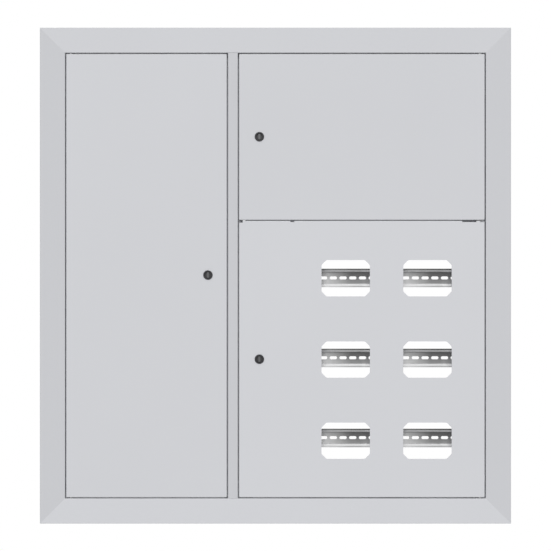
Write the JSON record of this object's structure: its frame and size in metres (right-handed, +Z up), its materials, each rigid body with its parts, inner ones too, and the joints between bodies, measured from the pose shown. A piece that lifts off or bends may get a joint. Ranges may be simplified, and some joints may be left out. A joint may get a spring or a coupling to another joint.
{
  "type": "floor distribution board",
  "caption": "Recessed steel distribution board with a tall left door, an upper and a lower right door, quarter-turn locks and cut-out windows over slotted mounting rails.",
  "frame": {"origin": "middle of the four fixing holes, on the plane of the rear flanges that touches the back of the niche", "axes": "+X to the right and +Z up as seen from the front; +Y into the wall, so the doors face -Y"},
  "size_m": [0.95, 0.1416, 1],
  "materials": {
    "light_grey_powder_coat": "fine satin powder coat, light cool grey",
    "galvanised_steel": "galvanised sheet",
    "zinc_plated_steel": "bright zinc plating",
    "dark_die_cast": "dark grey satin",
    "zinc_spindle": "dull grey zinc"
  },
  "bodies": {
    "housing": {"wall_left": "light_grey_powder_coat", "wall_right": "light_grey_powder_coat", "wall_top": "light_grey_powder_coat", "wall_bottom": "light_grey_powder_coat", "trim_left": "light_grey_powder_coat", "trim_right": "light_grey_powder_coat", "trim_top": "light_grey_powder_coat", "trim_bottom": "light_grey_powder_coat", "mullion": "light_grey_powder_coat", "partition": "light_grey_powder_coat", "shelf": "light_grey_powder_coat", "meter_upright_left": "galvanised_steel", "meter_upright_middle": "galvanised_steel", "meter_upright_right": "galvanised_steel", "breaker_upright_left": "galvanised_steel", "breaker_upright_right": "galvanised_steel", "meter_rail_1": "galvanised_steel", "meter_rail_2": "galvanised_steel", "meter_rail_3": "galvanised_steel", "meter_rail_4": "galvanised_steel", "meter_rail_5": "galvanised_steel", "meter_rail_6": "galvanised_steel", "breaker_rail_1": "galvanised_steel", "breaker_rail_2": "galvanised_steel", "meter_rail_screws": "zinc_plated_steel", "breaker_rail_screws": "zinc_plated_steel", "hinge_pins": "zinc_plated_steel", "shared_hinge_pin": "zinc_plated_steel", "shared_hinge_tongue": "zinc_plated_steel", "earth_stud": "zinc_plated_steel", "earth_washer": "zinc_plated_steel", "earth_nut": "zinc_plated_steel"},
    "left_door": {"left_door": "light_grey_powder_coat", "left_lock_body": "dark_die_cast", "left_lock_nut": "zinc_plated_steel", "left_door_earth_stud": "zinc_plated_steel", "left_door_earth_washer": "zinc_plated_steel", "left_door_earth_nut": "zinc_plated_steel"},
    "upper_door": {"upper_door": "light_grey_powder_coat", "upper_lock_body": "dark_die_cast", "upper_lock_nut": "zinc_plated_steel", "upper_door_earth_stud": "zinc_plated_steel", "upper_door_earth_washer": "zinc_plated_steel", "upper_door_earth_nut": "zinc_plated_steel"},
    "lower_door": {"lower_door": "light_grey_powder_coat", "lower_lock_body": "dark_die_cast", "lower_lock_nut": "zinc_plated_steel", "lower_door_earth_stud": "zinc_plated_steel", "lower_door_earth_washer": "zinc_plated_steel", "lower_door_earth_nut": "zinc_plated_steel"},
    "left_cam": {"left_lock_spindle": "zinc_spindle", "left_lock_cam": "zinc_plated_steel", "left_cam_screw": "zinc_plated_steel"},
    "upper_cam": {"upper_lock_spindle": "zinc_spindle", "upper_lock_cam": "zinc_plated_steel", "upper_cam_screw": "zinc_plated_steel"},
    "lower_cam": {"lower_lock_spindle": "zinc_spindle", "lower_lock_cam": "zinc_plated_steel", "lower_cam_screw": "zinc_plated_steel"}
  },
  "joints": [
    {"name": "left_door_hinge", "type": "hinge", "parent": "housing", "child": "left_door", "pos_m": [-0.4118, -0.133, 0], "axis": [0, 0, -1], "range_deg": [0, 115]},
    {"name": "upper_door_hinge", "type": "hinge", "parent": "housing", "child": "upper_door", "pos_m": [0.4118, -0.133, 0.2792], "axis": [0, 0, 1], "range_deg": [0, 115]},
    {"name": "lower_door_hinge", "type": "hinge", "parent": "housing", "child": "lower_door", "pos_m": [0.4118, -0.133, -0.1679], "axis": [0, 0, 1], "range_deg": [0, 115]},
    {"name": "left_lock_turn", "type": "hinge", "parent": "left_door", "child": "left_cam", "pos_m": [-0.1357, -0.121, 0.0012], "axis": [0, -1, 0], "range_deg": [0, 90]},
    {"name": "upper_lock_turn", "type": "hinge", "parent": "upper_door", "child": "upper_cam", "pos_m": [-0.0323, -0.121, 0.2792], "axis": [0, 1, 0], "range_deg": [0, 90]},
    {"name": "lower_lock_turn", "type": "hinge", "parent": "lower_door", "child": "lower_cam", "pos_m": [-0.0323, -0.121, -0.1679], "axis": [0, 1, 0], "range_deg": [0, 90]}
  ]
}
